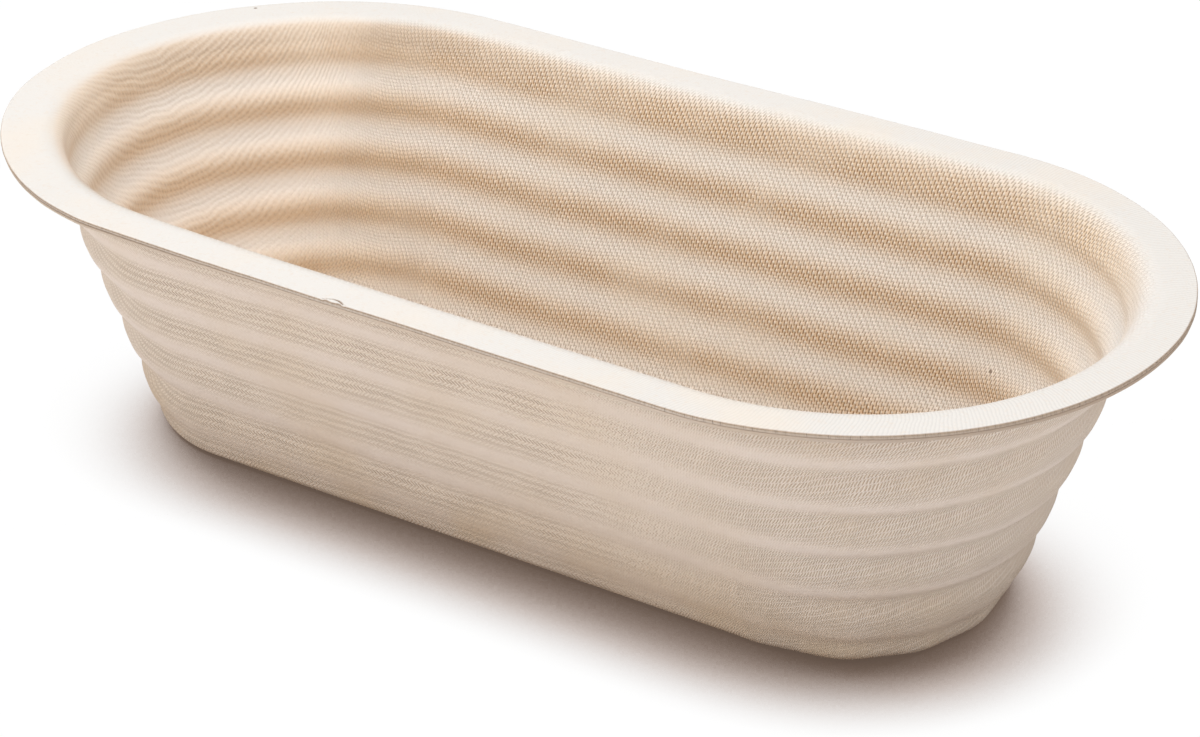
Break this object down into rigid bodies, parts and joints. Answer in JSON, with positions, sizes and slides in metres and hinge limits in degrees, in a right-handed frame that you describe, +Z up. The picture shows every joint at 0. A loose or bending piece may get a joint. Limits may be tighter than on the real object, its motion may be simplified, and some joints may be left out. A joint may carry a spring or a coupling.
{
  "type": "proofing basket",
  "caption": "Long proofing basket of pressed wood pulp: straight sides with half-round ends, a flat flange, a leaning ribbed wall and a flat base, open at the top to hold rising dough.",
  "frame": {"origin": "centre of the base underside", "axes": "+X along the length, +Y across the width, +Z up through the open top"},
  "size_m": [0.29, 0.144, 0.072],
  "materials": {
    "outer_pulp": "matte pressed pulp with a fine woven-screen imprint",
    "inner_pulp": "matte pressed pulp with a coarse woven-screen imprint, smooth on the flange"
  },
  "bodies": {
    "root": {"outer_ply": "outer_pulp", "inner_ply": "inner_pulp"}
  },
  "joints": []
}
